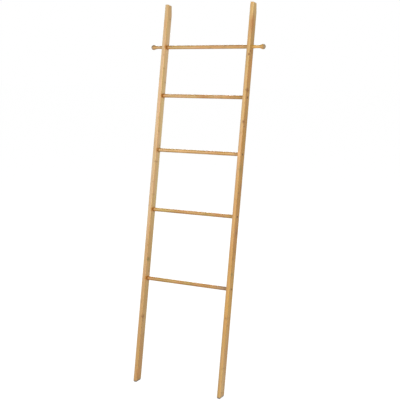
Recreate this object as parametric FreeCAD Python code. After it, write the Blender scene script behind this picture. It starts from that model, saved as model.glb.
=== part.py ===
import FreeCAD, Part

import math
import os

# A towel ladder that leans against a wall: two flat bamboo uprights, five round rungs, and a turned
# peg outside each upright in line with the top rung. Screws through the uprights hold the four lower
# rungs, and a double-ended screw in each upright holds the top rung and its peg.
#
# It is drawn as it stands in use. Z is up, the feet are on the floor at Z = 0, the wall is on the
# +Y side and X runs across the width. The origin is on the floor, midway between the uprights and
# midway between the front of the feet and the wall. Lengths are in millimetres.

# Uprights
LEAN_DEG = 10.5
LADDER_HEIGHT = 1700.0
RAIL_SPACING = 426.0
RAIL_THICKNESS = 16.0
RAIL_DEPTH = 40.0
LONG_EDGE_ROUND = 2.0
TOP_EDGE_ROUND = 1.5
FOOT_EDGE_ROUND = 1.0
WALL_FLAT_HEIGHT = 42.0

# Rungs, with each one's distance from the floor measured along the front of the uprights
RUNG_DIAMETER = 17.0
RUNG_SEAT_DEPTH = 5.0
RUNG_END_CHAMFER = 0.6
PEGGED_RUNG = "top_rung"
RUNG_HEIGHTS = {
    PEGGED_RUNG: 1536.0,
    "upper_rung": 1314.0,
    "middle_rung": 1065.0,
    "lower_rung": 792.0,
    "bottom_rung": 476.0,
}

# Pegs, with distances measured outwards from the upright's outer face
PEG_LENGTH = 65.0
PEG_BASE_DIAMETER = 17.0
PEG_BASE_CHAMFER = 0.6
PEG_NECK_DIAMETER = 13.0
PEG_NECK_DISTANCE = 31.0
PEG_KNOB_DIAMETER = 23.0

# Countersunk screws that hold the rungs
SCREW_DIAMETER = 4.5
SCREW_LENGTH = 45.0
SCREW_TIP_LENGTH = 7.0
SCREW_HEAD_DIAMETER = 9.0
SCREW_HEAD_SINK = 0.4
SCREW_HOLE_DIAMETER = 5.0
DRIVE_SLOT_LENGTH = 5.0
DRIVE_SLOT_WIDTH = 1.0
DRIVE_SLOT_DEPTH = 1.8

# Double-ended screws that hold the pegs
PEG_SCREW_DIAMETER = 6.0
PEG_SCREW_GRIP = 24.0
PEG_SCREW_TIP_LENGTH = 4.0
PEG_SCREW_HOLE_DIAMETER = 6.5

# Anti-slip pads glued under the uprights
PAD_THICKNESS = 3.0
PAD_MARGIN = 1.0
PAD_CORNER_ROUND = 2.0

# A rung or screw is this much smaller in radius than the hole that grips it, and a screw's tip
# stops this far short of the bottom of its hole.
GRIP_GAP = 0.05
TIP_ROOM = 1.0

SIDES = {"left": -1, "right": 1}

LEAN = math.radians(LEAN_DEG)
RAIL_LENGTH = LADDER_HEIGHT / math.cos(LEAN)
MID_DEPTH = RAIL_DEPTH / 2
INNER_FACE = (RAIL_SPACING - RAIL_THICKNESS) / 2
OUTER_FACE = (RAIL_SPACING + RAIL_THICKNESS) / 2
SEAT_FLOOR = INNER_FACE + RUNG_SEAT_DEPTH

# The vertical flat that meets the wall takes this much off the back and off the top of an upright.
FLAT_ALONG_BACK = WALL_FLAT_HEIGHT * math.cos(LEAN)
FLAT_ACROSS_TOP = WALL_FLAT_HEIGHT * math.sin(LEAN)

# Distances behind the front corner that the uprights would have at the floor
FRONT_OF_FEET = PAD_THICKNESS * math.tan(LEAN)
WALL_PLANE = (RAIL_LENGTH - FLAT_ALONG_BACK) * math.sin(LEAN) + RAIL_DEPTH * math.cos(LEAN)
CENTRE_Y = (FRONT_OF_FEET + WALL_PLANE) / 2

ORIGIN = FreeCAD.Vector(0, 0, 0)
ACROSS_WIDTH = FreeCAD.Vector(1, 0, 0)
UP = FreeCAD.Vector(0, 0, 1)

# The uprights, rungs, pegs and screws are drawn on a ladder that stands straight up, with Y as the
# distance behind the front of the uprights and Z as the distance along them. lean() then tips them.


def lean(shape):
    """Tip an upright shape back to the wall and put it in the part's own frame."""
    shape.rotate(ORIGIN, ACROSS_WIDTH, -LEAN_DEG)
    shape.translate(FreeCAD.Vector(0, -CENTRE_Y, 0))
    return shape


def lean_point(across, along):
    """Y and Z in the part's own frame of a point on the upright ladder."""
    y = along * math.sin(LEAN) + across * math.cos(LEAN) - CENTRE_Y
    z = along * math.cos(LEAN) - across * math.sin(LEAN)
    return y, z


def along_at_height(across, height):
    """Distance along an upright where a point `across` behind its front is `height` off the floor."""
    return (height + across * math.sin(LEAN)) / math.cos(LEAN)


def for_side(shape, side):
    """A shape drawn for the right-hand side, mirrored if it is wanted on the left."""
    if side > 0:
        return shape
    return shape.mirror(ORIGIN, ACROSS_WIDTH)


def rung_centre(rung):
    """Where a rung's centre line crosses the middle of the ladder."""
    return FreeCAD.Vector(0, MID_DEPTH, RUNG_HEIGHTS[rung])


def at_rung(shape, rung):
    """Move a shape drawn about the X axis onto a rung's centre line."""
    shape.translate(rung_centre(rung))
    return shape


def cylinder(start, end, diameter):
    """Cylinder along the X axis."""
    return Part.makeCylinder(diameter / 2, end - start, FreeCAD.Vector(start, 0, 0), ACROSS_WIDTH)


def turned(edges):
    """Solid of revolution about the X axis from edges that close a profile in the XY plane."""
    return Part.Face(Part.Wire(edges)).revolve(ORIGIN, ACROSS_WIDTH, 360)


def straight_edges(points):
    """Line edges through (x, radius) points."""
    vectors = [FreeCAD.Vector(x, radius, 0) for x, radius in points]
    return [Part.makeLine(start, end) for start, end in zip(vectors, vectors[1:])]


def rail_blank():
    """Right upright before drilling: a flat board with its foot cut level, its top cut square and
    its upper back corner cut parallel with the wall, and every edge eased."""
    outline = [
        (0.0, along_at_height(0.0, PAD_THICKNESS)),
        (RAIL_DEPTH, along_at_height(RAIL_DEPTH, PAD_THICKNESS)),
        (RAIL_DEPTH, RAIL_LENGTH - FLAT_ALONG_BACK),
        (RAIL_DEPTH - FLAT_ACROSS_TOP, RAIL_LENGTH),
        (0.0, RAIL_LENGTH),
    ]
    corners = [FreeCAD.Vector(INNER_FACE, across, along) for across, along in outline]
    side_face = Part.Face(Part.makePolygon(corners + corners[:1]))
    board = side_face.extrude(ACROSS_WIDTH * RAIL_THICKNESS)
    long_edges = [edge for edge in board.Edges if edge.BoundBox.ZLength > RAIL_THICKNESS]
    board = board.makeFillet(LONG_EDGE_ROUND, long_edges)
    for end, edge_round in ((min, FOOT_EDGE_ROUND), (max, TOP_EDGE_ROUND)):
        flat_faces = [face for face in board.Faces if isinstance(face.Surface, Part.Plane)]
        end_face = end(flat_faces, key=lambda face: face.CenterOfMass.z)
        board = board.makeFillet(edge_round, end_face.OuterWire.Edges)
    return board.Solids[0]


def rung_seat():
    """Blind hole in the inner face of the right upright that takes the end of a rung."""
    return cylinder(INNER_FACE - RAIL_THICKNESS, SEAT_FLOOR, RUNG_DIAMETER + 2 * GRIP_GAP)


def screw_hole():
    """Clearance hole and countersink for a rung screw, from the outer face of the right upright."""
    sunk_head_radius = SCREW_HEAD_DIAMETER / 2 + GRIP_GAP
    mouth_radius = sunk_head_radius + SCREW_HEAD_SINK
    hole_radius = SCREW_HOLE_DIAMETER / 2
    beyond = OUTER_FACE + RAIL_THICKNESS
    return turned(straight_edges([
        (INNER_FACE, 0.0),
        (INNER_FACE, hole_radius),
        (OUTER_FACE - (mouth_radius - hole_radius), hole_radius),
        (OUTER_FACE, mouth_radius),
        (beyond, mouth_radius),
        (beyond, 0.0),
        (INNER_FACE, 0.0),
    ]))


def peg_screw_hole():
    """Plain hole through the right upright for the screw that joins the top rung to its peg."""
    return cylinder(INNER_FACE, OUTER_FACE + RAIL_THICKNESS, PEG_SCREW_HOLE_DIAMETER)


def rail(side):
    """One upright, drilled for its five rungs."""
    board = rail_blank()
    for rung in RUNG_HEIGHTS:
        hole = peg_screw_hole() if rung == PEGGED_RUNG else screw_hole()
        board = board.cut([at_rung(rung_seat(), rung), at_rung(hole, rung)])
    return lean(for_side(board.Solids[0], side))


def pilot_hole_depth(rung):
    """How far into each end of a rung its screw goes, with room at the tip."""
    if rung == PEGGED_RUNG:
        return PEG_SCREW_GRIP + TIP_ROOM
    web = OUTER_FACE - SCREW_HEAD_SINK - SEAT_FLOOR
    return SCREW_LENGTH - web + TIP_ROOM


def rung_rod(rung):
    """A round rung with eased ends and a pilot hole in each."""
    radius = RUNG_DIAMETER / 2
    chamfer_start = SEAT_FLOOR - RUNG_END_CHAMFER
    rod = turned(straight_edges([
        (-SEAT_FLOOR, 0.0),
        (-SEAT_FLOOR, radius - RUNG_END_CHAMFER),
        (-chamfer_start, radius),
        (chamfer_start, radius),
        (SEAT_FLOOR, radius - RUNG_END_CHAMFER),
        (SEAT_FLOOR, 0.0),
        (-SEAT_FLOOR, 0.0),
    ]))
    screw_diameter = PEG_SCREW_DIAMETER if rung == PEGGED_RUNG else SCREW_DIAMETER
    hole = cylinder(SEAT_FLOOR - pilot_hole_depth(rung), SEAT_FLOOR, screw_diameter + 2 * GRIP_GAP)
    rod = rod.cut([for_side(hole.copy(), side) for side in SIDES.values()])
    return lean(at_rung(rod.Solids[0], rung))


def peg(side):
    """Turned peg: a base that narrows in a long hollow curve to a neck, then swells in a tighter
    hollow curve into a ball end."""
    base_radius = PEG_BASE_DIAMETER / 2
    neck_radius = PEG_NECK_DIAMETER / 2
    knob_radius = PEG_KNOB_DIAMETER / 2
    neck_x = OUTER_FACE + PEG_NECK_DISTANCE
    tip_x = OUTER_FACE + PEG_LENGTH
    knob_x = tip_x - knob_radius

    # Both hollow curves are level at the neck. The one towards the ball touches it smoothly.
    reach = knob_x - neck_x
    swell_radius = (reach**2 + neck_radius**2 - knob_radius**2) / (2 * (knob_radius - neck_radius))
    swell_centre_radius = neck_radius + swell_radius
    join_share = knob_radius / (knob_radius + swell_radius)
    join_x = knob_x - reach * join_share
    join_radius = swell_centre_radius * join_share
    swell_half_angle = math.atan2(reach, swell_centre_radius) / 2
    swell_mid = FreeCAD.Vector(
        neck_x + swell_radius * math.sin(swell_half_angle),
        swell_centre_radius - swell_radius * math.cos(swell_half_angle),
        0,
    )
    drop = base_radius - neck_radius
    run = PEG_NECK_DISTANCE - PEG_BASE_CHAMFER
    taper_radius = (run**2 + drop**2) / (2 * drop)
    taper_half_angle = math.asin(run / taper_radius) / 2
    taper_mid = FreeCAD.Vector(
        neck_x - taper_radius * math.sin(taper_half_angle),
        neck_radius + taper_radius * (1 - math.cos(taper_half_angle)),
        0,
    )

    base_start = FreeCAD.Vector(OUTER_FACE, base_radius - PEG_BASE_CHAMFER, 0)
    base_end = FreeCAD.Vector(OUTER_FACE + PEG_BASE_CHAMFER, base_radius, 0)
    neck = FreeCAD.Vector(neck_x, neck_radius, 0)
    join = FreeCAD.Vector(join_x, join_radius, 0)
    knob_top = FreeCAD.Vector(knob_x, knob_radius, 0)
    tip = FreeCAD.Vector(tip_x, 0, 0)
    base_centre = FreeCAD.Vector(OUTER_FACE, 0, 0)
    body = turned([
        Part.makeLine(base_centre, base_start),
        Part.makeLine(base_start, base_end),
        Part.Arc(base_end, taper_mid, neck).toShape(),
        Part.Arc(neck, swell_mid, join).toShape(),
        Part.Arc(join, knob_top, tip).toShape(),
        Part.makeLine(tip, base_centre),
    ])
    hole_end = OUTER_FACE + PEG_SCREW_GRIP + TIP_ROOM
    body = body.cut(cylinder(OUTER_FACE, hole_end, PEG_SCREW_DIAMETER + 2 * GRIP_GAP))
    return lean(for_side(at_rung(body.Solids[0], PEGGED_RUNG), side))


def rung_screw(rung, side):
    """Countersunk wood screw with a cross recess, its thread drawn as a plain shank."""
    head_radius = SCREW_HEAD_DIAMETER / 2
    shank_radius = SCREW_DIAMETER / 2
    head_x = OUTER_FACE - SCREW_HEAD_SINK
    tip_x = head_x - SCREW_LENGTH
    screw = turned(straight_edges([
        (tip_x, 0.0),
        (tip_x + SCREW_TIP_LENGTH, shank_radius),
        (head_x - (head_radius - shank_radius), shank_radius),
        (head_x, head_radius),
        (head_x, 0.0),
        (tip_x, 0.0),
    ]))
    slot_corner = FreeCAD.Vector(head_x - DRIVE_SLOT_DEPTH, -DRIVE_SLOT_LENGTH / 2, -DRIVE_SLOT_WIDTH / 2)
    slot = Part.makeBox(SCREW_LENGTH, DRIVE_SLOT_LENGTH, DRIVE_SLOT_WIDTH, slot_corner)
    cross_slot = slot.copy()
    cross_slot.rotate(ORIGIN, ACROSS_WIDTH, 90)
    screw = screw.cut([slot, cross_slot])
    return lean(for_side(at_rung(screw.Solids[0], rung), side))


def peg_screw(side):
    """Double-ended screw from the end of the top rung, through the upright, into the peg."""
    radius = PEG_SCREW_DIAMETER / 2
    start = SEAT_FLOOR - PEG_SCREW_GRIP
    end = OUTER_FACE + PEG_SCREW_GRIP
    screw = turned(straight_edges([
        (start, 0.0),
        (start + PEG_SCREW_TIP_LENGTH, radius),
        (end - PEG_SCREW_TIP_LENGTH, radius),
        (end, 0.0),
        (start, 0.0),
    ]))
    return lean(for_side(at_rung(screw, PEGGED_RUNG), side))


def foot_pad(side):
    """Flat anti-slip pad between an upright's foot and the floor."""
    width = RAIL_THICKNESS - 2 * PAD_MARGIN
    depth = RAIL_DEPTH / math.cos(LEAN) - 2 * PAD_MARGIN
    front = FRONT_OF_FEET + PAD_MARGIN - CENTRE_Y
    corner = FreeCAD.Vector(INNER_FACE + PAD_MARGIN, front, 0)
    pad = Part.makeBox(width, depth, PAD_THICKNESS, corner)
    upright_edges = [edge for edge in pad.Edges if edge.BoundBox.ZLength > PAD_THICKNESS / 2]
    return for_side(pad.makeFillet(PAD_CORNER_ROUND, upright_edges).Solids[0], side)


def build():
    """Every piece of the ladder, by node name."""
    parts = {rung: rung_rod(rung) for rung in RUNG_HEIGHTS}
    for side_name, side in SIDES.items():
        parts[f"rail_{side_name}"] = rail(side)
        parts[f"peg_{side_name}"] = peg(side)
        parts[f"peg_screw_{side_name}"] = peg_screw(side)
        parts[f"foot_pad_{side_name}"] = foot_pad(side)
        for rung in RUNG_HEIGHTS:
            if rung != PEGGED_RUNG:
                parts[f"{rung}_screw_{side_name}"] = rung_screw(rung, side)
    return parts


if __name__ == "__main__":
    os.makedirs("parts", exist_ok=True)
    for name, shape in build().items():
        shape.exportStep(f"parts/{name}.step")
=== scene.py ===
import math

import bmesh
import bpy
from mathutils import Euler, Matrix, Vector, noise


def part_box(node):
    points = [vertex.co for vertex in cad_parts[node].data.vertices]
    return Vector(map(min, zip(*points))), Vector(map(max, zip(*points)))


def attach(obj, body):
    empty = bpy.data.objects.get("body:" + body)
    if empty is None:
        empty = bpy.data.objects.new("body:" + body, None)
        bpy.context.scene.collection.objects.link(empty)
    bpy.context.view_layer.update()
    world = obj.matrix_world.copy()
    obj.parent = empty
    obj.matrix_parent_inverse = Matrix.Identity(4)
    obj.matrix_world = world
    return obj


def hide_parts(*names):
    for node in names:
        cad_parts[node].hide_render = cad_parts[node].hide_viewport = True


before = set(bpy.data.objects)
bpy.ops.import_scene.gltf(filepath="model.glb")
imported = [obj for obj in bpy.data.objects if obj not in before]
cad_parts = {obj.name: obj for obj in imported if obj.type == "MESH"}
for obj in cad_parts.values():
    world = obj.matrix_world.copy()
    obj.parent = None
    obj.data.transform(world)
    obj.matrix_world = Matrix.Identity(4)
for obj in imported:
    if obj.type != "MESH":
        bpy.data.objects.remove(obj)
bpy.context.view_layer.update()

# A bamboo towel ladder, drawn in metres in the frame of its CAD model: Z is up, X runs across the
# width, and the ladder leans back towards the wall on the +Y side.

# ---- sizes ---------------------------------------------------------------------------------------

SIDES = {"left": -1, "right": 1}
RUNGS = ["top_rung", "upper_rung", "middle_rung", "lower_rung", "bottom_rung"]
PEGGED_RUNG = RUNGS[0]

LEAN = math.radians(10.5)
LADDER_HEIGHT = 1.700
RAIL_DEPTH = 0.040
WALL_FLAT_HEIGHT = 0.042
LONG_EDGE_ROUND = 0.0020
TOP_EDGE_ROUND = 0.0015
FOOT_EDGE_ROUND = 0.0010
ROUND_STEPS = 6

RUNG_SEAT_DEPTH = 0.005
RUNG_END_CHAMFER = 0.0006
PEG_BASE_CHAMFER = 0.0006
PEG_BASE_DIAMETER = 0.017
PEG_NECK_DIAMETER = 0.013
PEG_NECK_DISTANCE = 0.031
PEG_KNOB_DIAMETER = 0.023
PEG_SCREW_GRIP = 0.024
PEG_SCREW_DIAMETER = 0.006
PEG_SCREW_HOLE_DIAMETER = 0.0065
SCREW_DIAMETER = 0.0045
SCREW_LENGTH = 0.045
SCREW_TIP_LENGTH = 0.007
SCREW_HEAD_DIAMETER = 0.009
SCREW_HEAD_SINK = 0.0004
SCREW_HOLE_DIAMETER = 0.005
GRIP_GAP = 0.00005
TIP_ROOM = 0.001
MOUTH_EASE = 0.0003
SEAT_CUT_BEYOND = 0.010
HOLE_CUT_BEYOND = 0.004
HOLE_CUT_OVERLAP = 0.0005
SCREW_RIM = 0.00015
THREAD_PITCH = 0.0020
THREAD_DEPTH = 0.0007
THREAD_SHARPNESS = 5
THREAD_FADE = 0.002
SMOOTH_SHANK = 0.014
# The two ends of a cross-head driver's blade: (outwards from the head's face, length, width)
DRIVER_BLADE = ((0.001, 0.0058, 0.00120), (-0.0018, 0.0018, 0.0008))
PAD_CORNER_ROUND = 0.002
PAD_RIM_ROUND = 0.0003
SANDING_DEPTH = 0.00004

RUNG_SEGMENTS = 64
RUNG_RINGS = 120
PEG_SEGMENTS = 72
PEG_CURVE_STEPS = 24
PEG_BALL_STEPS = 48
SCREW_SEGMENTS = 32
SCREW_SHANK_RINGS = 150
SCREW_TIP_RINGS = 16
SEAT_SEGMENTS = 96
SCREW_HOLE_SEGMENTS = 64
PEG_HOLE_SEGMENTS = 48

# Faces that meet at more than this many degrees keep a sharp edge.
SHARP_RAIL = 30
SHARP_TURNED = 35

PAD_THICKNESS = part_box("foot_pad_left")[1].z
INNER_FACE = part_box("rail_right")[0].x
OUTER_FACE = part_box("rail_right")[1].x
RAIL_THICKNESS = OUTER_FACE - INNER_FACE
SEAT_FLOOR = INNER_FACE + RUNG_SEAT_DEPTH
RUNG_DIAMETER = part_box("top_rung")[1].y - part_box("top_rung")[0].y
MID_DEPTH = RAIL_DEPTH / 2

RAIL_LENGTH = LADDER_HEIGHT / math.cos(LEAN)
FLAT_ALONG_BACK = WALL_FLAT_HEIGHT * math.cos(LEAN)
FLAT_ACROSS_TOP = WALL_FLAT_HEIGHT * math.sin(LEAN)
FRONT_OF_FEET = PAD_THICKNESS * math.tan(LEAN)
WALL_PLANE = (RAIL_LENGTH - FLAT_ALONG_BACK) * math.sin(LEAN) + RAIL_DEPTH * math.cos(LEAN)
CENTRE_Y = (FRONT_OF_FEET + WALL_PLANE) / 2

# Pieces are drawn on a ladder that stands straight up: x across the width, y behind the front of
# the uprights, z along them. This matrix leans them into the row's frame.
LEANED = Matrix.Translation((0, -CENTRE_Y, 0)) @ Matrix.Rotation(-LEAN, 4, "X")


def centre(node):
    low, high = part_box(node)
    return (low + high) / 2


def rung_along(rung):
    """Distance of a rung's axis from the floor, along the front of the uprights."""
    return (centre(rung).z + MID_DEPTH * math.sin(LEAN)) / math.cos(LEAN)


def along_at_height(back, height):
    return (height + back * math.sin(LEAN)) / math.cos(LEAN)


# ---- mesh tools ----------------------------------------------------------------------------------


def new_object(name, mesh):
    piece = bpy.data.objects.new(name, mesh)
    bpy.context.scene.collection.objects.link(piece)
    return piece


def lathe(profile, rung, segments, radius_at=None):
    """Closed surface of revolution about a rung's axis from (x, radius) points."""
    mesh = bmesh.new()
    axis = Vector((0, MID_DEPTH, rung_along(rung)))
    rings = []
    for x, radius in profile:
        if radius <= 0:
            rings.append([mesh.verts.new(axis + Vector((x, 0, 0)))])
            continue
        ring = []
        for k in range(segments):
            angle = 2 * math.pi * k / segments
            r = radius_at(x, radius, angle) if radius_at else radius
            spoke = Vector((x, r * math.cos(angle), r * math.sin(angle)))
            ring.append(mesh.verts.new(axis + spoke))
        rings.append(ring)
    for a, b in zip(rings, rings[1:]):
        for k in range(segments):
            m = (k + 1) % segments
            if len(a) == 1:
                mesh.faces.new((a[0], b[k], b[m]))
            elif len(b) == 1:
                mesh.faces.new((a[k], b[0], a[m]))
            else:
                mesh.faces.new((a[k], b[k], b[m], a[m]))
    return mesh


def to_side(mesh, side):
    if side < 0:
        bmesh.ops.scale(mesh, vec=(-1, 1, 1), verts=mesh.verts)
    bmesh.ops.recalc_face_normals(mesh, faces=mesh.faces)
    return mesh


def as_mesh(bm, name):
    mesh = bpy.data.meshes.new(name)
    bm.to_mesh(mesh)
    bm.free()
    return mesh


def cut(mesh, cutters, name):
    """The mesh with every cutter taken out of it."""
    body = new_object(name, mesh)
    tools = [new_object(f"{name}_cutter_{k}", as_mesh(c, "cutter")) for k, c in enumerate(cutters)]
    for tool in tools:
        boolean = body.modifiers.new("cut", "BOOLEAN")
        boolean.operation = "DIFFERENCE"
        boolean.solver = "EXACT"
        boolean.object = tool
    graph = bpy.context.evaluated_depsgraph_get()
    result = bpy.data.meshes.new_from_object(body.evaluated_get(graph))
    for thing in [body] + tools:
        data = thing.data
        bpy.data.objects.remove(thing)
        bpy.data.meshes.remove(data)
    return result


def finish_piece(name, mesh, material, node, sharp=SHARP_RAIL):
    """Lean a piece into place, smooth it between its corners, hang it from the root body, and hide
    the CAD part it replaces.
    """
    mesh.transform(LEANED)
    mesh.materials.clear()
    mesh.materials.append(material)
    mesh.shade_smooth()
    mesh.set_sharp_from_angle(angle=math.radians(sharp))
    piece = new_object(name, mesh)
    weighted = piece.modifiers.new("flat faces stay flat", "WEIGHTED_NORMAL")
    weighted.keep_sharp = True
    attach(piece, "root")
    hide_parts(node)
    return piece


# ---- shader tools --------------------------------------------------------------------------------


class Shading:
    """One material's node tree, with short forms for the nodes it needs."""

    def __init__(self, name):
        self.material = bpy.data.materials.new(name)
        self.material.use_nodes = True
        self.tree = self.material.node_tree
        self.shader = self.tree.nodes["Principled BSDF"]

    def feed(self, socket, value):
        if isinstance(value, bpy.types.NodeSocket):
            self.tree.links.new(value, socket)
        else:
            socket.default_value = value

    def add(self, kind, inputs=None, **settings):
        node = self.tree.nodes.new("ShaderNode" + kind)
        for key, value in settings.items():
            setattr(node, key, value)
        for socket, value in (inputs or {}).items():
            self.feed(node.inputs[socket], value)
        return node

    def math(self, operation, *values, clamp=False):
        node = self.add("Math", operation=operation, use_clamp=clamp)
        for socket, value in zip(node.inputs, values):
            self.feed(socket, value)
        return node.outputs[0]

    def total(self, start, *terms):
        """start plus each (value, weight), where the value is taken from its middle, 0.5."""
        result = start
        for value, weight in terms:
            centred = self.math("SUBTRACT", value, 0.5)
            result = self.math("MULTIPLY_ADD", centred, weight, result)
        return result

    def step(self, value, low, high, start=0.0, end=1.0):
        node = self.add("MapRange", interpolation_type="SMOOTHSTEP")
        for socket, number in zip(node.inputs, (value, low, high, start, end)):
            self.feed(socket, number)
        return node.outputs[0]

    def noise(self, place, size, detail=2.0, distortion=0.0):
        """Noise whose lumps have about the given size, in metres, on each axis."""
        scale = tuple(1 / s for s in size)
        scaled = self.add("VectorMath", {0: place, 1: scale}, operation="MULTIPLY").outputs[0]
        node = self.add("TexNoise", {"Vector": scaled, "Scale": 1.0, "Detail": detail})
        node.inputs["Distortion"].default_value = distortion
        return node.outputs["Fac"]

    def cell_random(self, *index):
        """Three random numbers for each whole-numbered cell."""
        cell = self.add("CombineXYZ", dict(enumerate(index))).outputs[0]
        white = self.add("TexWhiteNoise", {"Vector": cell}, noise_dimensions="3D").outputs["Color"]
        return self.add("SeparateColor", {0: white}).outputs

    def ramp(self, value, stops):
        node = self.add("ValToRGB", {0: value})
        elements = node.color_ramp.elements
        while len(elements) < len(stops):
            elements.new(0.5)
        for element, (place, colour) in zip(elements, stops):
            element.position = place
            element.color = (*colour, 1) if isinstance(colour, tuple) else (colour,) * 3 + (1,)
        return node.outputs[0]

    def mix(self, factor, a, b, blend="MIX"):
        node = self.add("Mix", data_type="RGBA", blend_type=blend)
        for index, value in ((0, factor), (6, a), (7, b)):
            if isinstance(value, tuple):
                value = (*value, 1)
            self.feed(node.inputs[index], value)
        return node.outputs[2]

    def surface(self, colour, roughness, height, depth=0.001):
        """Join colour, roughness and a height in units of depth to the shader."""
        self.feed(self.shader.inputs["Base Color"], colour)
        self.feed(self.shader.inputs["Roughness"], roughness)
        bump = self.add("Bump", {"Height": height, "Strength": 1.0, "Distance": depth})
        self.feed(self.shader.inputs["Normal"], bump.outputs[0])

    def fixed(self, **values):
        for name, value in values.items():
            self.shader.inputs[name.replace("_", " ")].default_value = value


# ---- bamboo --------------------------------------------------------------------------------------

PALE = (0.665, 0.458, 0.185)
DEEP = (0.410, 0.235, 0.060)
WARM = (0.580, 0.300, 0.090)
BROWN = (0.190, 0.085, 0.022)
GLUE = (0.230, 0.115, 0.035)
# Knuckle smudges, and also the painted shade round the screws
KNOT_AND_SHADE = (0.210, 0.078, 0.004)
ORANGE = (0.430, 0.180, 0.035)
OLIVE = (0.190, 0.135, 0.020)
ROSE = (0.560, 0.310, 0.160)
# Colour of the painted shade where the rungs meet the uprights
JOINT_SHADE_COLOUR = (0.400, 0.155, 0.020)
UMBER = (0.240, 0.165, 0.100)
YELLOW_TINT = (0.99, 1.03, 0.80)
PINK_TINT = (1.04, 0.94, 0.98)
END_GRAIN = (0.330, 0.235, 0.120)
END_DOT = (0.130, 0.078, 0.034)
FOOT_GREY = (0.150, 0.120, 0.082)
KNOB_TIP_GREY = (0.110, 0.088, 0.062)
STREAK = (0.360, 0.150, 0.030)
# GLOW is painted warm light, not a colour of the wood
GLOW = (0.760, 0.380, 0.120)

FRONT_TO_BACK_TINT = [(0.0, (1.03, 0.95, 0.87)), (1.0, (0.96, 1.03, 1.12))]
STEEL_DARK = (0.085, 0.038, 0.010)
STEEL_LIGHT = (0.170, 0.082, 0.024)
STEEL_RUBBED = (0.26, 0.16, 0.08)
RUBBER = (0.024, 0.022, 0.020)
RUBBER_GRAIN = (0.040, 0.037, 0.034)
DUST = (0.120, 0.105, 0.085)

# Lump sizes of the noises in the bamboo, in metres: across two ways, then along the grain
FIBRE_SIZE = (0.00045, 0.00045, 0.025)
STRAND_SIZE = (0.0024, 0.0024, 0.16)
DASH_SIZE = (0.00026, 0.00026, 0.010)
WAVER_SIZE = (0.003, 0.003, 0.05)
RUB_SIZE = (0.004, 0.004, 0.03)
DRIFT_WIDTH = 0.02

# Where these fade, in metres: from full to nothing
GLUE_LINE = (0.00008, 0.00032)
WORN_EDGE = (0.0006, 0.0026)
FOOT_GREY_HEIGHT = (0.004, 0.009)

END_DOTS_PER_METRE = 1250.0
SEED_SHIFT = 3.17
SEED_CELLS = 11.3
RIGHT_FACE_FROM = (0.87, 0.90)

# Height of each mark in the bamboo, in millimetres
FIBRE_RISE = 0.009
STRAND_RISE = 0.030
DASH_RISE = -0.012
GLUE_RISE = -0.020
KNUCKLE_RISE = 0.035
END_DOT_RISE = -0.030

KNUCKLE_REACH = 0.020
KNUCKLE_SHAPE = [
    (0.00, 0.0),
    (0.30, 0.06),
    (0.44, 0.22),
    (0.475, 0.95),
    (0.50, 1.0),
    (0.525, 0.45),
    (0.56, 0.30),
    (0.72, 0.10),
    (1.00, 0.0),
]


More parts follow.
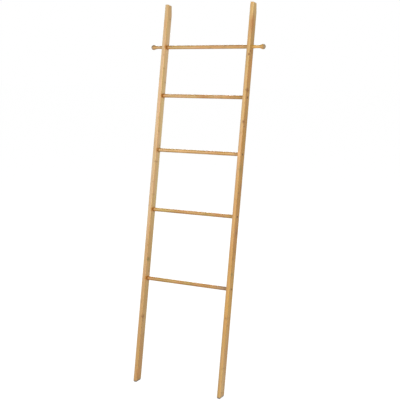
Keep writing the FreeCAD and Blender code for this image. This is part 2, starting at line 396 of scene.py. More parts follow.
def bamboo(name, seed, grain_axis, slat, origin, look, stains_and_shade=(), edges=None):
    """Laminated bamboo. Slats `slat` = (thickness, width) are stacked from `origin` = (x, back,
    along) across the grain, each with its own shade, fibres and knuckles. `look` holds the distance
    between knuckles (pitch), the length of the slow drifts of tone (drift), how strongly and from
    what angle the cut ends show (end, end_from), the mean darkness (shade), and the tint along the
    grain and how it is placed. For an upright it also holds the tints across its thickness and on
    its right side, and how much its wood is greyed just above the floor. The tints carry the wood's
    own tone and partly painted light and shade. Each entry in the list of marks is (centre, reach,
    strength, colour) in (x, back, along), measured from `origin`; the entries are marks in the
    wood, and also painted shade round joints and screws and a painted glow. `edges` is the section
    whose long edges are worn."""
    s = Shading(name)
    coords = s.add("TexCoord")
    ladder = s.add("Mapping", {
        "Vector": coords.outputs["Object"],
        "Location": (0, CENTRE_Y * math.cos(LEAN), CENTRE_Y * math.sin(LEAN)),
        "Rotation": (LEAN, 0, 0),
    }).outputs[0]
    local = s.add("VectorMath", {0: ladder, 1: origin}, operation="SUBTRACT").outputs[0]
    x, back, along = s.add("SeparateXYZ", {0: local}).outputs
    if grain_axis == "x":
        layer_place, slat_place, grain = along, back, x
        grain_direction = (1, 0, 0)
    else:
        layer_place, slat_place, grain = x, back, along
        grain_direction = (0, math.sin(LEAN), math.cos(LEAN))
    place = s.add("CombineXYZ", {0: layer_place, 1: slat_place, 2: grain}).outputs[0]
    place = s.add("VectorMath", {0: place, 1: (0, 0, seed * SEED_SHIFT)},
                  operation="ADD").outputs[0]

    # Which slat this is, and which stretch of it between two knuckles
    layer_share = s.math("DIVIDE", layer_place, slat[0])
    slat_share = s.math("DIVIDE", slat_place, slat[1])
    layer_index = s.math("FLOOR", layer_share)
    slat_index = s.math("FLOOR", slat_share)
    slat_random = s.cell_random(layer_index, slat_index, seed)
    bow = s.math("POWER", s.math("SUBTRACT", s.math("FRACT", slat_share), 0.5), 2.0)
    stretch = s.math("DIVIDE", grain, look["pitch"])
    stretch = s.math("MULTIPLY_ADD", slat_random[1], 7.0, stretch)
    stretch = s.math("MULTIPLY_ADD", bow, 0.02, stretch)
    stretch = s.math("MULTIPLY_ADD", s.noise(place, WAVER_SIZE, 1.0), 0.008, stretch)
    stretch_random = s.cell_random(s.math("ADD", layer_index, seed * SEED_CELLS), slat_index,
                                   s.math("FLOOR", stretch))

    # Knuckles: a dark line with a smudge on both sides
    off_line = s.math("SUBTRACT", s.math("FRACT", s.math("ADD", stretch, 0.5)), 0.5)
    off_line = s.math("MULTIPLY", off_line, look["pitch"] / (2 * KNUCKLE_REACH))
    off_line = s.math("ADD", off_line, 0.5, clamp=True)
    knuckle = s.ramp(off_line, KNUCKLE_SHAPE)
    knuckle = s.math("MULTIPLY", knuckle, s.math("MULTIPLY_ADD", stretch_random[2], 0.65, 0.30))

    # Fibres, and slower drifts of shade and hue
    fine = s.noise(place, FIBRE_SIZE, 3.0)
    broad = s.noise(place, STRAND_SIZE, 2.0, 0.4)
    slow = s.noise(place, (DRIFT_WIDTH, DRIFT_WIDTH, look["drift"]), 2.0)
    hue_drift = s.noise(place, (DRIFT_WIDTH, DRIFT_WIDTH, look["drift"] * 0.8), 1.0, 0.2)
    dash = s.step(s.noise(place, DASH_SIZE, 1.0), 0.58, 0.70)
    dash = s.math("MULTIPLY", dash, s.step(broad, 0.35, 0.65, 0.25, 1.0))
    dash = s.math("MULTIPLY_ADD", knuckle, 0.4, dash)

    # Glue lines between slats
    def seam(share, width):
        to_seam = s.math("PINGPONG", share, 0.5)
        return s.step(s.math("MULTIPLY", to_seam, width), *GLUE_LINE, 1.0, 0.0)

    glue = s.math("MAXIMUM", seam(layer_share, slat[0]), seam(slat_share, slat[1]))

    # Cut ends: dots of fibre bundles, denser towards one side of each slat
    facing = s.add("VectorMath", {0: coords.outputs["Normal"], 1: grain_direction},
                   operation="DOT_PRODUCT").outputs["Value"]
    end = s.step(s.math("ABSOLUTE", facing), look["end_from"], 0.95)
    across = s.add("VectorMath", {0: place, 1: (1, 1, 0)}, operation="MULTIPLY").outputs[0]
    dots = s.add("TexVoronoi", {"Vector": across, "Scale": END_DOTS_PER_METRE, "Randomness": 0.9})
    dot_size = s.math("MULTIPLY_ADD", s.math("FRACT", layer_share), 0.22, 0.20)
    dot = s.step(s.math("SUBTRACT", dots.outputs["Distance"], dot_size), -0.06, 0.10, 1.0, 0.0)

    shade = s.total(look["shade"], (slat_random[0], 0.30), (stretch_random[0], 0.40), (broad, 0.60),
                    (fine, 0.35), (slow, 1.0))
    colour = s.mix(s.math("ADD", shade, 0.0, clamp=True), PALE, DEEP)
    colour = s.mix(s.math("MULTIPLY", slat_random[2], 0.5), colour, WARM)
    hue = s.total(0.5, (stretch_random[1], 0.7), (hue_drift, 1.6))
    tint = s.mix(s.math("ADD", hue, 0.0, clamp=True), YELLOW_TINT, PINK_TINT)
    colour = s.mix(1.0, colour, tint, "MULTIPLY")
    colour = s.mix(s.math("MULTIPLY", dash, 0.26, clamp=True), colour, BROWN)
    colour = s.mix(s.math("MULTIPLY", glue, 0.50), colour, GLUE)
    colour = s.mix(s.math("MULTIPLY", knuckle, 0.80, clamp=True), colour, BROWN)
    share = s.math("MULTIPLY_ADD", grain, look["tint_scale"], look["tint_shift"])
    along_tint = s.ramp(share, look["tint"])
    # On an upright's right side face the tint is its own: partly the wood's tone and partly painted
    # light and shade
    if "side_tint_and_light" in look:
        thickness = s.math("DIVIDE", x, RAIL_THICKNESS)
        across_tint = s.ramp(thickness, look["across_tint"])
        along_tint = s.mix(1.0, along_tint, across_tint, "MULTIPLY")
        right_face = s.step(thickness, *RIGHT_FACE_FROM)
        side_tint_and_light = s.mix(1.0, s.ramp(share, look["side_tint_and_light"]),
                          s.ramp(s.math("DIVIDE", back, RAIL_DEPTH), FRONT_TO_BACK_TINT),
                          "MULTIPLY")
        along_tint = s.mix(right_face, along_tint, side_tint_and_light)
    colour = s.mix(1.0, colour, along_tint, "MULTIPLY")
    frayed = s.total(0.0, (broad, 1.1), (fine, 0.7))
    # Marks in the wood, and also painted shade at the joints and screws and a painted glow
    for middle, reach, strength, stain_and_shade in stains_and_shade:
        scale = tuple(1 / r for r in reach)
        shift = tuple(-m / r for m, r in zip(middle, reach))
        offset = s.add("VectorMath", {0: local, 1: scale, 2: shift},
                       operation="MULTIPLY_ADD").outputs[0]
        distance = s.add("VectorMath", {0: offset}, operation="LENGTH").outputs["Value"]
        amount = s.step(s.math("ADD", distance, frayed), 0.25, 1.0, strength, 0.0)
        if stain_and_shade in (KNOT_AND_SHADE, OLIVE):
            # A knuckle's own fine line, across the middle of its smudge; the painted shade round
            # the screws shares this colour and gets the line too
            from_line = s.math("ABSOLUTE", s.add("SeparateXYZ", {0: offset}).outputs[2])
            from_line = s.math("MULTIPLY_ADD", bow, -0.3, from_line)
            line = s.step(from_line, 0.02, 0.10, 1.0, 0.0)
            colour = s.mix(s.math("MULTIPLY", line, amount), colour, BROWN)
        colour = s.mix(amount, colour, stain_and_shade)
    if "greyed_foot" in look:
        # Greyed wood just above the floor
        height_from_floor = s.add("SeparateXYZ", {0: coords.outputs["Object"]}).outputs[2]
        worn = s.total(height_from_floor, (broad, 0.004), (fine, 0.003))
        colour = s.mix(s.step(worn, *FOOT_GREY_HEIGHT, look["greyed_foot"], 0.0), colour, FOOT_GREY)
    end_colour = s.mix(dot, s.mix(s.math("MULTIPLY", glue, 0.6), END_GRAIN, GLUE), END_DOT)
    colour = s.mix(s.math("MULTIPLY", end, look["end"]), colour, end_colour)

    roughness = s.total(0.46, (fine, 0.22), (slow, 0.20))
    roughness = s.math("MULTIPLY_ADD", end, 0.22, roughness)
    roughness = s.math("MULTIPLY_ADD", knuckle, 0.08, roughness)
    height = s.math("MULTIPLY", fine, FIBRE_RISE)
    height = s.math("MULTIPLY_ADD", broad, STRAND_RISE, height)
    height = s.math("MULTIPLY_ADD", dash, DASH_RISE, height)
    height = s.math("MULTIPLY_ADD", glue, GLUE_RISE, height)
    height = s.math("MULTIPLY_ADD", knuckle, KNUCKLE_RISE, height)
    height = s.math("MULTIPLY_ADD", s.math("MULTIPLY", dot, end), END_DOT_RISE, height)

    if edges:
        # Long edges, rubbed a little paler and smoother
        to_x = s.math("PINGPONG", x, edges[0] / 2)
        to_y = s.math("PINGPONG", back, edges[1] / 2)
        edge = s.step(s.math("MAXIMUM", to_x, to_y), *WORN_EDGE, 1.0, 0.0)
        rub = s.math("MULTIPLY", edge, s.step(s.noise(place, RUB_SIZE, 3.0), 0.38, 0.66))
        colour = s.mix(s.math("MULTIPLY", rub, 0.30), colour, PALE)
        roughness = s.math("MULTIPLY_ADD", rub, -0.08, roughness)

    s.surface(colour, roughness, height)
    s.fixed(Coat_Weight=0.12, Coat_Roughness=0.30, Specular_IOR_Level=0.35)
    return s.material


# ---- steel and rubber ----------------------------------------------------------------------------


def bronzed_steel():
    """Dark bronzed screw steel, brighter where its rim is rubbed."""
    s = Shading("bronzed_steel")
    coords = s.add("TexCoord")
    centred = s.add("VectorMath", {0: coords.outputs["Generated"], 1: (0.5, 0.5, 0.5)},
                    operation="SUBTRACT").outputs[0]
    flat = s.add("VectorMath", {0: centred, 1: (0, 2, 2)}, operation="MULTIPLY").outputs[0]
    radius = s.add("VectorMath", {0: flat}, operation="LENGTH").outputs["Value"]
    place = coords.outputs["Object"]
    grime = s.noise(place, (0.0016, 0.0016, 0.0016), 4.0)
    speck = s.noise(place, (0.0003, 0.0003, 0.0003), 2.0)
    rings = s.math("SINE", s.math("MULTIPLY", radius, 120.0))
    rim = s.step(radius, 0.86, 0.99)
    rub = s.math("MULTIPLY", rim, s.step(grime, 0.35, 0.60))
    tint = s.total(0.45, (grime, 0.9), (speck, 0.5))
    colour = s.mix(s.math("ADD", tint, 0.0, clamp=True), STEEL_DARK, STEEL_LIGHT)
    colour = s.mix(s.math("MULTIPLY", rub, 0.6), colour, STEEL_RUBBED)
    roughness = s.total(0.42, (grime, 0.35), (speck, 0.2))
    roughness = s.math("MULTIPLY_ADD", rub, -0.10, roughness)
    height = s.math("MULTIPLY", rings, 0.004)
    height = s.math("MULTIPLY_ADD", speck, 0.012, height)
    s.surface(colour, roughness, height)
    s.fixed(Metallic=0.85)
    return s.material


def pad_rubber():
    """Matt dark rubber with a pebbled face and a little floor dust."""
    s = Shading("pad_rubber")
    place = s.add("TexCoord").outputs["Object"]
    pebble = s.add("TexVoronoi", {"Vector": place, "Scale": 1400.0}).outputs["Distance"]
    dust = s.step(s.noise(place, (0.006, 0.006, 0.006), 4.0), 0.45, 0.75)
    grain = s.noise(place, (0.0006, 0.0006, 0.0006), 2.0)
    colour = s.mix(s.math("MULTIPLY", dust, 0.30), RUBBER, DUST)
    colour = s.mix(s.math("MULTIPLY", grain, 0.3), colour, RUBBER_GRAIN)
    roughness = s.total(0.80, (grain, 0.2), (dust, 0.1))
    height = s.math("MULTIPLY_ADD", pebble, -0.10, s.math("MULTIPLY", grain, 0.03))
    s.surface(colour, roughness, height)
    s.fixed(Specular_IOR_Level=0.3)
    return s.material


# ---- pieces --------------------------------------------------------------------------------------


def rail_blank():
    """A right upright before drilling, its foot level, its top square, its upper back corner
    parallel with the wall, and its edges rounded."""
    outline = [
        (0.0, along_at_height(0.0, PAD_THICKNESS)),
        (RAIL_DEPTH, along_at_height(RAIL_DEPTH, PAD_THICKNESS)),
        (RAIL_DEPTH, RAIL_LENGTH - FLAT_ALONG_BACK),
        (RAIL_DEPTH - FLAT_ACROSS_TOP, RAIL_LENGTH),
        (0.0, RAIL_LENGTH),
    ]
    bm = bmesh.new()
    base = bm.faces.new([bm.verts.new((INNER_FACE, back, along)) for back, along in outline])
    grown = bmesh.ops.extrude_face_region(bm, geom=[base])
    moved = [v for v in grown["geom"] if isinstance(v, bmesh.types.BMVert)]
    bmesh.ops.translate(bm, vec=(RAIL_THICKNESS, 0, 0), verts=moved)
    bmesh.ops.recalc_face_normals(bm, faces=bm.faces)

    def rounded(edges, radius):
        bmesh.ops.bevel(bm, geom=edges, offset=radius, offset_type="OFFSET", segments=ROUND_STEPS,
                        profile=0.5, affect="EDGES", clamp_overlap=True)

    def rise(edge):
        return abs(edge.verts[0].co.z - edge.verts[1].co.z)

    rounded([e for e in bm.edges if rise(e) > RAIL_THICKNESS], LONG_EDGE_ROUND)
    for pick, radius in ((min, FOOT_EDGE_ROUND), (max, TOP_EDGE_ROUND)):
        ends = [f for f in bm.faces if abs(f.normal.z) > 0.9]
        end = pick(ends, key=lambda f: f.calc_center_median().z)
        rounded(list(end.edges), radius)
    return bm


def seat_cutter(rung):
    """Blind seat for a rung's end, with its mouth eased."""
    radius = RUNG_DIAMETER / 2 + GRIP_GAP
    return lathe([
        (INNER_FACE - SEAT_CUT_BEYOND, 0),
        (INNER_FACE - SEAT_CUT_BEYOND, radius + MOUTH_EASE + SEAT_CUT_BEYOND),
        (INNER_FACE, radius + MOUTH_EASE),
        (INNER_FACE + MOUTH_EASE, radius),
        (SEAT_FLOOR, radius),
        (SEAT_FLOOR, 0),
    ], rung, SEAT_SEGMENTS)


def screw_cutter(rung):
    """Clearance hole and countersink for a rung screw, or a plain hole for a peg's screw."""
    start, beyond = SEAT_FLOOR - HOLE_CUT_OVERLAP, OUTER_FACE + HOLE_CUT_BEYOND
    if rung == PEGGED_RUNG:
        radius = PEG_SCREW_HOLE_DIAMETER / 2
        return lathe([(start, 0), (start, radius), (beyond, radius), (beyond, 0)], rung,
                     PEG_HOLE_SEGMENTS)
    hole = SCREW_HOLE_DIAMETER / 2
    sunk = SCREW_HEAD_DIAMETER / 2 + GRIP_GAP
    mouth = sunk + SCREW_HEAD_SINK
    return lathe([
        (start, 0),
        (start, hole),
        (OUTER_FACE - (mouth - hole), hole),
        (OUTER_FACE, mouth),
        (beyond, mouth + HOLE_CUT_BEYOND),
        (beyond, 0),
    ], rung, SCREW_HOLE_SEGMENTS)


def make_rail(side_name, side, material):
    mesh = as_mesh(to_side(rail_blank(), side), "rail")
    cutters = [to_side(make(rung), side) for rung in RUNGS for make in (seat_cutter, screw_cutter)]
    mesh = cut(mesh, cutters, "rail")
    finish_piece(f"bamboo_rail_{side_name}", mesh, material, f"rail_{side_name}")


def hand_sanded(seed):
    """A rung's radius, which wanders by a few hundredths of a millimetre along and around it."""
    def radius_at(x, radius, angle):
        where = Vector((x * 9, math.cos(angle) * 0.7 + seed, math.sin(angle) * 0.7))
        return radius - SANDING_DEPTH * (0.5 + 0.5 * noise.noise(where))
    return radius_at


def make_rung(rung, seed, material):
    radius = RUNG_DIAMETER / 2
    web = OUTER_FACE - SCREW_HEAD_SINK - SEAT_FLOOR
    pegged = rung == PEGGED_RUNG
    bore = (PEG_SCREW_DIAMETER if pegged else SCREW_DIAMETER) / 2 + GRIP_GAP
    depth = PEG_SCREW_GRIP + TIP_ROOM if pegged else SCREW_LENGTH - web + TIP_ROOM
    body = SEAT_FLOOR - RUNG_END_CHAMFER
    profile = [(-SEAT_FLOOR + depth, 0), (-SEAT_FLOOR + depth, bore), (-SEAT_FLOOR, bore),
               (-SEAT_FLOOR, radius - RUNG_END_CHAMFER)]
    profile += [(-body + 2 * body * k / RUNG_RINGS, radius) for k in range(RUNG_RINGS + 1)]
    profile += [(SEAT_FLOOR, radius - RUNG_END_CHAMFER), (SEAT_FLOOR, bore),
                (SEAT_FLOOR - depth, bore), (SEAT_FLOOR - depth, 0)]
    sanded = hand_sanded(seed)
    bm = lathe(profile, rung, RUNG_SEGMENTS, lambda x, r, a: sanded(x, r, a) if r > bore else r)
    finish_piece(f"bamboo_{rung}", as_mesh(to_side(bm, 1), rung), material, rung,
                 SHARP_TURNED)


def peg_profile():
    """Turned outline: a long hollow taper to the neck, then a tighter hollow into the ball."""
    base, neck, knob = PEG_BASE_DIAMETER / 2, PEG_NECK_DIAMETER / 2, PEG_KNOB_DIAMETER / 2
    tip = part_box("peg_right")[1].x
    neck_x, knob_x = OUTER_FACE + PEG_NECK_DISTANCE, tip - knob
    reach = knob_x - neck_x
    swell = (reach**2 + neck**2 - knob**2) / (2 * (knob - neck))
    run, drop = PEG_NECK_DISTANCE - PEG_BASE_CHAMFER, base - neck
    taper = (run**2 + drop**2) / (2 * drop)
    join = knob_x - reach * knob / (knob + swell)
    bore, hole_end = PEG_SCREW_DIAMETER / 2 + GRIP_GAP, OUTER_FACE + PEG_SCREW_GRIP + TIP_ROOM
    points = [(hole_end, 0), (hole_end, bore), (OUTER_FACE, bore),
              (OUTER_FACE, base - PEG_BASE_CHAMFER)]
    for k in range(PEG_CURVE_STEPS + 1):
        x = run * (1 - k / PEG_CURVE_STEPS)
        points.append((neck_x - x, neck + taper - math.sqrt(taper**2 - x**2)))
    for k in range(1, PEG_CURVE_STEPS + 1):
        x = (join - neck_x) * k / PEG_CURVE_STEPS
        points.append((neck_x + x, neck + swell - math.sqrt(swell**2 - x**2)))
    first = math.atan2(math.sqrt(max(0.0, knob**2 - (join - knob_x) ** 2)), join - knob_x)
    for k in range(1, PEG_BALL_STEPS):
        angle = first * (1 - k / PEG_BALL_STEPS)
        points.append((knob_x + knob * math.cos(angle), knob * math.sin(angle)))
    points.append((tip, 0))
    return points


def make_peg(side_name, side, material):
    bm = to_side(lathe(peg_profile(), PEGGED_RUNG, PEG_SEGMENTS), side)
    finish_piece(f"bamboo_peg_{side_name}", as_mesh(bm, "peg"), material,
                 f"peg_{side_name}", SHARP_TURNED)


def threaded(head_x):
    """Radius of a screw's shank, which carries a thread up to the smooth part under its head."""
    smooth_from = head_x - SMOOTH_SHANK

    def radius_at(x, radius, angle):
        if x > smooth_from or radius > SCREW_DIAMETER / 2 + 1e-6:
            return radius
        turn = (x / THREAD_PITCH - angle / (2 * math.pi)) % 1.0
        crest = max(0.0, 1 - abs(turn - 0.5) * THREAD_SHARPNESS)
        fade = min(1.0, (smooth_from - x) / THREAD_FADE)
        return radius - THREAD_DEPTH * fade * (1 - crest) * (radius / (SCREW_DIAMETER / 2))
    return radius_at


def cross_cutter(rung, head_x):
    """Two tapered blades, as on a cross-head driver."""
    tools = []
    middle = Vector((0, MID_DEPTH, rung_along(rung)))
    for turn in (0, 90):
        bm = bmesh.new()
        rings = []
        for outwards, length, width in DRIVER_BLADE:
            corners = [(-1, -1), (1, -1), (1, 1), (-1, 1)]
            spin = Matrix.Rotation(math.radians(turn + 45), 4, "X")
            rings.append([bm.verts.new(middle + spin @ Vector((0, a * length / 2, b * width / 2))
                                       + Vector((head_x + outwards, 0, 0)))
                          for a, b in corners])
        bm.faces.new(rings[0])
        bm.faces.new(rings[1])
        for k in range(4):
            m = (k + 1) % 4
            bm.faces.new((rings[0][k], rings[0][m], rings[1][m], rings[1][k]))
        tools.append(bm)
    return tools


def make_screw(rung, side_name, side, material):
    head, shank = SCREW_HEAD_DIAMETER / 2, SCREW_DIAMETER / 2
    head_x = OUTER_FACE - SCREW_HEAD_SINK
    tip_x = head_x - SCREW_LENGTH
    rim = SCREW_RIM
    start, end = tip_x + SCREW_TIP_LENGTH, head_x - (head - shank)
    profile = [(tip_x, 0)]
    profile += [(tip_x + SCREW_TIP_LENGTH * k / SCREW_TIP_RINGS, shank * k / SCREW_TIP_RINGS)
                for k in range(1, SCREW_TIP_RINGS)]
    profile += [(start + (end - start) * k / SCREW_SHANK_RINGS, shank)
                for k in range(SCREW_SHANK_RINGS + 1)]
    profile += [(head_x - rim * 1.5, head - rim * 0.6), (head_x - rim, head),
                (head_x - rim * 0.3, head - rim * 0.3), (head_x, head - rim), (head_x, 0)]
    bm = to_side(lathe(profile, rung, SCREW_SEGMENTS, threaded(head_x)), side)
    tools = [to_side(tool, side) for tool in cross_cutter(rung, head_x)]
    mesh = cut(as_mesh(bm, "screw"), tools, "screw")
    finish_piece(f"screw_{rung}_{side_name}", mesh, material,
                 f"{rung}_screw_{side_name}", SHARP_TURNED)


def make_foot_pad(side_name, material):
    """Anti-slip pad with rounded corners and a softened rim."""
    low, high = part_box(f"foot_pad_{side_name}")
    bm = bmesh.new()
    size, middle = high - low, (high + low) / 2
    bmesh.ops.create_cube(bm, size=1.0,
                          matrix=Matrix.Translation(middle) @ Matrix.Diagonal((*size, 1)))
    upright = [e for e in bm.edges if abs(e.verts[0].co.z - e.verts[1].co.z) > size.z / 2]
    bmesh.ops.bevel(bm, geom=upright, offset=PAD_CORNER_ROUND, segments=8, profile=0.5,
                    affect="EDGES")
    rim = [e for e in bm.edges if abs(e.verts[0].co.z - e.verts[1].co.z) < 1e-7
           and any(abs(f.normal.z) > 0.9 for f in e.link_faces)]
    bmesh.ops.bevel(bm, geom=rim, offset=PAD_RIM_ROUND, segments=3, profile=0.5, affect="EDGES")
    bmesh.ops.recalc_face_normals(bm, faces=bm.faces)
    bmesh.ops.transform(bm, matrix=LEANED.inverted(), verts=bm.verts)
    finish_piece(f"rubber_foot_{side_name}", as_mesh(bm, "pad"), material,
                 f"foot_pad_{side_name}")


# ---- materials and assembly ----------------------------------------------------------------------

RAIL_SLAT = (RAIL_THICKNESS / 3, RAIL_DEPTH / 2)
RUNG_SLAT = (RUNG_DIAMETER / 3, 0.020)
PEG_SLAT = (0.0058, 0.024)

# Tints multiply the wood's colour. Along an upright they run from foot to top, 0 to 1, across it
# from its left side to its right, and along a rung from left to right. They carry the wood's own
# tone and partly painted light and shade.
PLAIN = (1.04, 1.04, 1.08)
HONEY = (1.00, 0.95, 0.72)
AMBER = (0.88, 0.82, 0.33)
MAPLE = (0.78, 0.67, 0.26)
RUSSET = (0.83, 0.77, 0.58)
SAND = (1.00, 1.06, 1.15)
STRAW = (1.12, 1.20, 1.38)
OAT = (1.14, 1.34, 1.80)
CREAM = (1.24, 1.50, 2.15)
DRIFT = (0.92, 0.96, 1.00)
FRONT_TINT = {
    "left": [(0.00, PLAIN), (0.36, PLAIN), (0.56, SAND), (0.70, STRAW), (0.82, STRAW), (0.93, OAT)],
    "right": [(0.00, DRIFT), (0.10, SAND), (0.22, HONEY), (0.54, HONEY), (0.66, STRAW),
              (0.76, STRAW), (0.86, SAND), (0.94, STRAW)],
}
ACROSS_TINT = {
    "left": [(0.10, (0.98, 0.98, 1.02)), (0.45, (0.97, 0.93, 0.93)), (0.85, (0.95, 0.85, 0.80))],
    "right": [(0.10, (0.90, 0.92, 0.95)), (0.35, (1.08, 1.07, 1.05)), (0.80, (1.14, 1.11, 1.05))],
}
# Tints of each upright's right side face: partly the wood's tone and partly painted light and
# shade, which make that face lighter or darker than the front
SIDE_TINT_AND_LIGHT = {
    "left": [(0.00, RUSSET), (0.14, DRIFT), (0.36, SAND), (0.52, OAT), (0.66, CREAM), (0.84, CREAM),
             (1.00, OAT)],
    "right": [(0.00, DRIFT), (0.12, RUSSET), (0.22, AMBER), (0.45, MAPLE), (0.56, MAPLE),
              (0.66, MAPLE), (0.74, RUSSET), (0.86, RUSSET), (0.94, DRIFT), (1.00, OAT)],
}
SIDE_FACE = RAIL_THICKNESS
RAIL_STAINS_AND_GLOW = {
    "left": [
        ((0.008, 0.000, 1.640), (0.010, 0.008, 0.050), 0.40, ORANGE),
        ((0.006, 0.000, 1.360), (0.010, 0.008, 0.026), 0.50, ROSE),
        ((SIDE_FACE, 0.008, 1.010), (0.012, 0.026, 0.006), 0.45, BROWN),
        ((SIDE_FACE, 0.014, 0.562), (0.010, 0.018, 0.014), 0.85, OLIVE),
        ((SIDE_FACE, 0.008, 0.300), (0.012, 0.018, 0.014), 0.75, KNOT_AND_SHADE),
        ((SIDE_FACE, 0.014, 0.045), (0.010, 0.018, 0.026), 0.50, ORANGE),
    ],
    "right": [
        ((SIDE_FACE, 0.006, 1.632), (0.012, 0.022, 0.054), 0.90, STREAK),
        ((SIDE_FACE, 0.036, 1.470), (0.006, 0.010, 0.110), 0.60, STREAK),
        ((SIDE_FACE, 0.010, 0.720), (0.010, 0.016, 0.080), 0.45, STREAK),
        # Painted glow of warm light on the front face, beside the middle rung's joint
        ((0.003, 0.000, 1.066), (0.010, 0.010, 0.016), 0.60, GLOW),
        ((SIDE_FACE, 0.012, 1.516), (0.008, 0.010, 0.010), 0.85, KNOT_AND_SHADE),
        ((0.013, 0.002, 1.500), (0.007, 0.009, 0.010), 0.95, KNOT_AND_SHADE),
        ((SIDE_FACE, 0.016, 1.430), (0.010, 0.026, 0.090), 0.45, ORANGE),
        ((SIDE_FACE, 0.012, 1.345), (0.009, 0.020, 0.014), 0.90, KNOT_AND_SHADE),
        ((0.014, 0.005, 1.206), (0.007, 0.012, 0.012), 0.85, KNOT_AND_SHADE),
        ((SIDE_FACE, 0.010, 1.000), (0.010, 0.022, 0.030), 0.45, OLIVE),
        ((SIDE_FACE, 0.030, 0.920), (0.008, 0.009, 0.030), 0.70, KNOT_AND_SHADE),
        ((SIDE_FACE, 0.022, 0.722), (0.008, 0.016, 0.034), 0.70, KNOT_AND_SHADE),
        ((SIDE_FACE, 0.014, 0.540), (0.008, 0.014, 0.014), 0.75, OLIVE),
        ((0.011, 0.006, 0.350), (0.010, 0.014, 0.012), 0.50, KNOT_AND_SHADE),
        ((SIDE_FACE, 0.014, 0.132), (0.010, 0.024, 0.005), 0.45, BROWN),
    ],
}


# How dark the painted shade is round each rung where it meets an upright, and at its left end
JOINT_DARKNESS = {"top_rung": 0.95, "upper_rung": 0.85, "middle_rung": 0.60, "lower_rung": 0.80,
                  "bottom_rung": 0.95}


def painted_joint_shade(inner_face):
    """Painted shade round the rungs, where they meet an upright's inner face."""
    return [((inner_face, MID_DEPTH, rung_along(rung)), (0.006, 0.036, 0.015), darkness, JOINT_SHADE_COLOUR)
            for rung, darkness in JOINT_DARKNESS.items()]


def painted_screw_shade(outer_face):
    """Painted shade round the sunk screw heads, on an upright's outer face."""
    return [((outer_face, MID_DEPTH, rung_along(rung)), (0.005, 0.009, 0.009), 0.65, KNOT_AND_SHADE)
            for rung in RUNGS if rung != PEGGED_RUNG]


def rung_end_darkening(rung):
    """Painted shadow of the left upright on a rung's left end, and the greyed right end of the
    bottom rung.
    """
    middle = 1.5 * RUNG_SLAT[0]
    stains_and_shade = [((-INNER_FACE, 0.010, middle), (0.020, 0.030, 0.030), JOINT_DARKNESS[rung] - 0.1,
               JOINT_SHADE_COLOUR)]
    if rung == "bottom_rung":
        stains_and_shade.append(((INNER_FACE, 0.010, middle), (0.090, 0.060, 0.060), 0.50, UMBER))
    return stains_and_shade


# FLAX lightens the right ends of rungs, which stand in the shade of the right upright.
TAN = (0.82, 0.81, 0.84)
SHELL = (0.88, 0.78, 0.80)
BARK = (0.77, 0.68, 0.60)
MOSS = (0.73, 0.75, 0.58)
PEACH = (0.98, 0.92, 1.02)
ASH = (0.90, 0.90, 0.97)
RUSTY = (0.75, 0.61, 0.50)
DUSK = (0.66, 0.53, 0.46)
FLAX = (0.98, 0.90, 0.88)
WHEAT = (0.84, 0.82, 1.02)
# Along each rung the tint is partly the wood's own tone and partly painted light and shade
RUNG_TINT = {
    "top_rung": [(0.00, DUSK), (0.06, TAN), (0.25, TAN), (0.45, SHELL), (0.75, BARK), (0.90, BARK),
                 (1.00, FLAX)],
    "upper_rung": [(0.00, RUSTY), (0.08, TAN), (0.42, TAN), (0.52, RUSTY), (0.64, TAN),
                   (0.78, SHELL), (0.90, BARK), (1.00, FLAX)],
    "middle_rung": [(0.00, WHEAT), (0.20, ASH), (0.30, PEACH), (0.55, ASH), (0.75, PEACH),
                    (1.00, PEACH)],
    "lower_rung": [(0.00, BARK), (0.15, MOSS), (0.35, RUSTY), (0.55, BARK), (0.68, MOSS),
                   (0.80, RUSTY), (0.90, BARK), (1.00, FLAX)],
    "bottom_rung": [(0.00, RUSTY), (0.30, MOSS), (0.42, RUSTY), (0.52, MOSS), (0.62, RUSTY),
                    (1.00, RUSTY)],
}
RUNG_LOOK = {"pitch": 0.270, "drift": 0.075, "end": 0.9, "end_from": 0.60, "shade": 0.58,
             "tint_scale": 1 / (2 * INNER_FACE), "tint_shift": 0.5}
PEG_LOOK = {**RUNG_LOOK, "end": 0.85, "end_from": 0.30, "shade": 0.50,
            "tint": [(0.0, TAN), (1.0, HONEY)]}
RAIL_LOOK = {"pitch": 0.290, "drift": 0.120, "end": 0.9, "end_from": 0.60, "shade": 0.42,
             "tint_scale": 1 / RAIL_LENGTH, "tint_shift": 0.0}
# How far from its tip, and how strongly, each knob is made darker and greyer
KNOB_GREY = {"left": (0.024, 0.78), "right": (0.018, 0.92)}

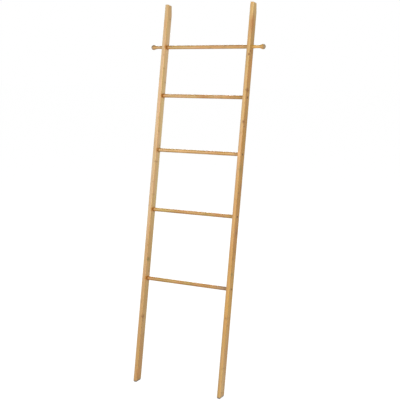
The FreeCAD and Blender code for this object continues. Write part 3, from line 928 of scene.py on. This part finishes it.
# How much each upright's wood is made darker and greyer just above the floor
FOOT_GREYING = {"left": 0.55, "right": 0.50}
PEG_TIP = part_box("peg_right")[1].x
RAIL_SEED, RUNG_SEED, PEG_SEED = 3, 11, 31
steel = bronzed_steel()
rubber = pad_rubber()
for index, (side_name, side) in enumerate(SIDES.items()):
    first_face = INNER_FACE if side > 0 else -OUTER_FACE
    inner_face = 0.0 if side > 0 else RAIL_THICKNESS
    look = {**RAIL_LOOK, "tint": FRONT_TINT[side_name], "across_tint": ACROSS_TINT[side_name],
            "side_tint_and_light": SIDE_TINT_AND_LIGHT[side_name], "greyed_foot": FOOT_GREYING[side_name]}
    rail_wood = bamboo(f"bamboo_rail_{side_name}", RAIL_SEED + 2 * index, "along", RAIL_SLAT,
                       (first_face, 0, 0), look,
                       RAIL_STAINS_AND_GLOW[side_name] + painted_joint_shade(inner_face)
                       + painted_screw_shade(RAIL_THICKNESS - inner_face),
                       (RAIL_THICKNESS, RAIL_DEPTH))
    make_rail(side_name, side, rail_wood)
    along = rung_along(PEGGED_RUNG)
    grey_reach, grey_strength = KNOB_GREY[side_name]
    peg_wood = bamboo(f"bamboo_peg_{side_name}", PEG_SEED + index, "x", PEG_SLAT,
                      (0, MID_DEPTH - 0.012, along - 2 * PEG_SLAT[0]), PEG_LOOK,
                      [((side * PEG_TIP, 0.012, 2 * PEG_SLAT[0]), (grey_reach, 0.03, 0.03),
                        grey_strength, KNOB_TIP_GREY)])
    make_peg(side_name, side, peg_wood)
    make_foot_pad(side_name, rubber)
    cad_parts[f"peg_screw_{side_name}"].data.materials.clear()
    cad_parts[f"peg_screw_{side_name}"].data.materials.append(steel)
for index, rung in enumerate(RUNGS):
    along = rung_along(rung)
    rung_wood = bamboo(f"bamboo_{rung}", RUNG_SEED + index, "x", RUNG_SLAT,
                       (0, MID_DEPTH - 0.010, along - 1.5 * RUNG_SLAT[0]),
                       {**RUNG_LOOK, "tint": RUNG_TINT[rung]},
                       rung_end_darkening(rung))
    make_rung(rung, index, rung_wood)
    if rung != PEGGED_RUNG:
        for side_name, side in SIDES.items():
            make_screw(rung, side_name, side, steel)

# ---- studio --------------------------------------------------------------------------------------

FLOOR_HALF = 40.0
FLOOR_GREY = 0.12
FLOOR_GLOW = 0.95
ROOM_LIGHT = 0.40
BACKDROP = 1.0
LIGHT_SIZE = 2.2
LIGHTS = {
    "key": ((-2.8, -3.7, 2.0), 168),
    "fill": ((4.1, -2.0, 1.5), 195),
    "back": ((-1.8, 3.6, 2.4), 110),
}
CAMERA_PLACE = (1.765, -3.295, 1.443)
CAMERA_YAW = math.radians(27.74)
CAMERA_PITCH = math.radians(-9.285)
LENS_MM = 76.24
AIM = Vector((0, 0, 0.9))


def make_camera():
    data = bpy.data.cameras.new("camera")
    data.lens = LENS_MM
    data.sensor_width = 36.0
    camera = new_object("camera", data)
    camera.location = CAMERA_PLACE
    camera.rotation_euler = Euler((math.radians(90) + CAMERA_PITCH, 0, CAMERA_YAW))
    bpy.context.scene.camera = camera


def make_floor():
    """A plain white studio floor that fades into the white behind it."""
    mesh = bpy.data.meshes.new("floor")
    corners = [(x * FLOOR_HALF, y * FLOOR_HALF, 0) for x, y in ((-1, -1), (1, -1), (1, 1), (-1, 1))]
    mesh.from_pydata(corners, [], [(0, 1, 2, 3)])
    floor = new_object("floor", mesh)
    s = Shading("floor")
    s.fixed(Base_Color=(FLOOR_GREY, FLOOR_GREY, FLOOR_GREY, 1), Roughness=1.0,
            Specular_IOR_Level=0.0, Emission_Color=(1, 1, 1, 1), Emission_Strength=FLOOR_GLOW)
    mesh.materials.append(s.material)
    floor.visible_diffuse = False


def make_light(name, place, power):
    data = bpy.data.lights.new(name, "AREA")
    data.shape = "DISK"
    data.size = LIGHT_SIZE
    data.energy = power
    lamp = new_object(name, data)
    lamp.location = place
    lamp.rotation_euler = (AIM - Vector(place)).to_track_quat("-Z", "Y").to_euler()


def make_world():
    """White to the camera, and a softer white as the room's own light."""
    world = bpy.data.worlds.new("studio")
    bpy.context.scene.world = world
    world.use_nodes = True
    tree = world.node_tree
    tree.nodes.clear()
    out = tree.nodes.new("ShaderNodeOutputWorld")
    mix = tree.nodes.new("ShaderNodeMixShader")
    ray = tree.nodes.new("ShaderNodeLightPath")
    tree.links.new(ray.outputs["Is Camera Ray"], mix.inputs[0])
    for socket, strength in ((1, ROOM_LIGHT), (2, BACKDROP)):
        white = tree.nodes.new("ShaderNodeBackground")
        white.inputs["Color"].default_value = (1, 1, 1, 1)
        white.inputs["Strength"].default_value = strength
        tree.links.new(white.outputs[0], mix.inputs[socket])
    tree.links.new(mix.outputs[0], out.inputs[0])
    bpy.context.scene.view_settings.view_transform = "Standard"


make_camera()
make_floor()
make_world()
for name, (place, power) in LIGHTS.items():
    make_light(name, place, power)
